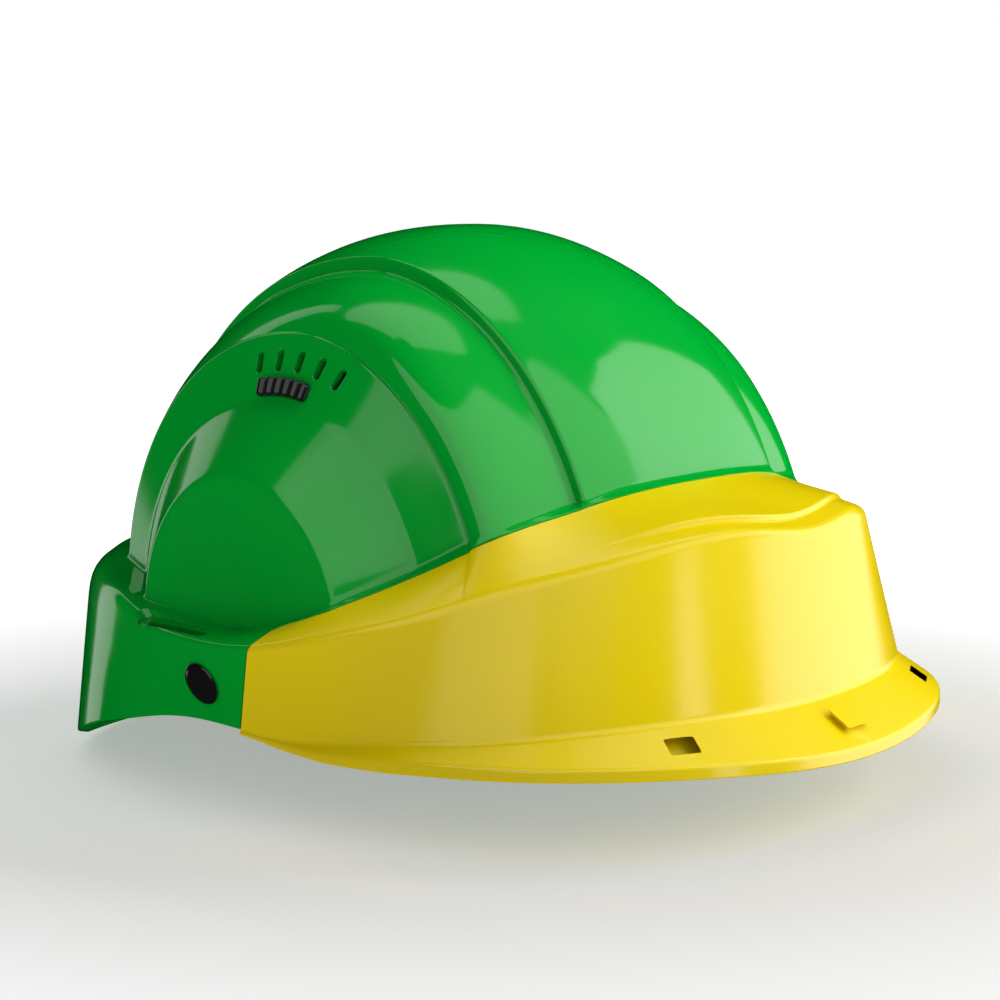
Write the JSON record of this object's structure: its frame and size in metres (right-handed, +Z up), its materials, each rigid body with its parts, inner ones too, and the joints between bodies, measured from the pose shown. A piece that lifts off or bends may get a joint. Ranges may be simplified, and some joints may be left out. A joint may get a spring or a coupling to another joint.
{
  "type": "hard hat",
  "caption": "Vented hard hat with layered arched dome, separate front band and peak rim, webbing cradle, sliding vent flaps and ratchet nape adjuster.",
  "frame": {"origin": "centre of the bounding box in plan, at the height of the shell's lowest point, the nape rim", "axes": "+Z up as worn, -Y towards the front of the helmet, +X towards the wearer's left; X = 0 is the plane of symmetry"},
  "size_m": [0.2338, 0.262, 0.16],
  "materials": {
    "green_shell": "injection moulded, high gloss",
    "yellow_band": "injection moulded, gloss with a very fine grain",
    "black_gloss": "polished black",
    "black_matte": "as moulded",
    "harness_grey": "as moulded",
    "webbing": "woven polyester webbing",
    "sweatband_fabric": "knitted cover over foam"
  },
  "bodies": {
    "helmet": {"shell": "green_shell", "front_band": "yellow_band", "side_button_left": "black_gloss", "side_button_right": "black_gloss", "button_lock_ring_left": "black_matte", "button_lock_ring_right": "black_matte", "band_rivet_left": "black_matte", "band_rivet_right": "black_matte", "headband": "harness_grey", "band_tail_left": "harness_grey", "band_tail_right": "harness_grey", "sweatband": "sweatband_fabric", "crown_strap_lower": "webbing", "crown_strap_upper": "webbing", "hanger_front_left": "black_matte", "hanger_front_right": "black_matte", "hanger_rear_left": "black_matte", "hanger_rear_right": "black_matte"},
    "vent_flap_left": {"vent_slider_left": "black_gloss", "vent_shutter_left": "black_matte"},
    "vent_flap_right": {"vent_slider_right": "black_gloss", "vent_shutter_right": "black_matte"},
    "nape_unit": {"nape_housing": "harness_grey", "nape_cover": "black_matte", "nape_pad": "sweatband_fabric"},
    "knob": {"ratchet_knob": "black_matte", "ratchet_pinion": "harness_grey"},
    "rack_left": {"rack_left": "black_matte"},
    "rack_right": {"rack_right": "black_matte"}
  },
  "joints": [
    {"name": "vent_close_left", "type": "hinge", "parent": "helmet", "child": "vent_flap_left", "pos_m": [0, 0.0095, 0.051], "axis": [-1, 0, 0], "range_deg": [0, 3]},
    {"name": "vent_close_right", "type": "hinge", "parent": "helmet", "child": "vent_flap_right", "pos_m": [0, 0.0095, 0.051], "axis": [-1, 0, 0], "range_deg": [0, 3]},
    {"name": "nape_slide", "type": "slide", "parent": "helmet", "child": "nape_unit", "axis": [0, -1, 0], "range_m": [0, 0.00905]},
    {"name": "knob_turn", "type": "hinge", "parent": "nape_unit", "child": "knob", "pos_m": [0, 0.1089, 0.021], "axis": [0, 1, 0], "range_deg": [0, 163]},
    {"name": "rack_left_travel", "type": "hinge", "parent": "nape_unit", "child": "rack_left", "pos_m": [0, 0.043, 0.021], "axis": [0, 0, 1], "range_deg": [0, 10.5], "deforming": ["band_tail_left"]},
    {"name": "rack_right_travel", "type": "hinge", "parent": "nape_unit", "child": "rack_right", "pos_m": [0, 0.043, 0.021], "axis": [0, 0, -1], "range_deg": [0, 10.5], "deforming": ["band_tail_right"]}
  ],
  "couplings": [
    {"joint": "knob_turn", "follows": "nape_slide", "rad_per_m": 313.87},
    {"joint": "rack_left_travel", "follows": "nape_slide", "rad_per_m": 20.004},
    {"joint": "rack_right_travel", "follows": "nape_slide", "rad_per_m": 20.004}
  ]
}
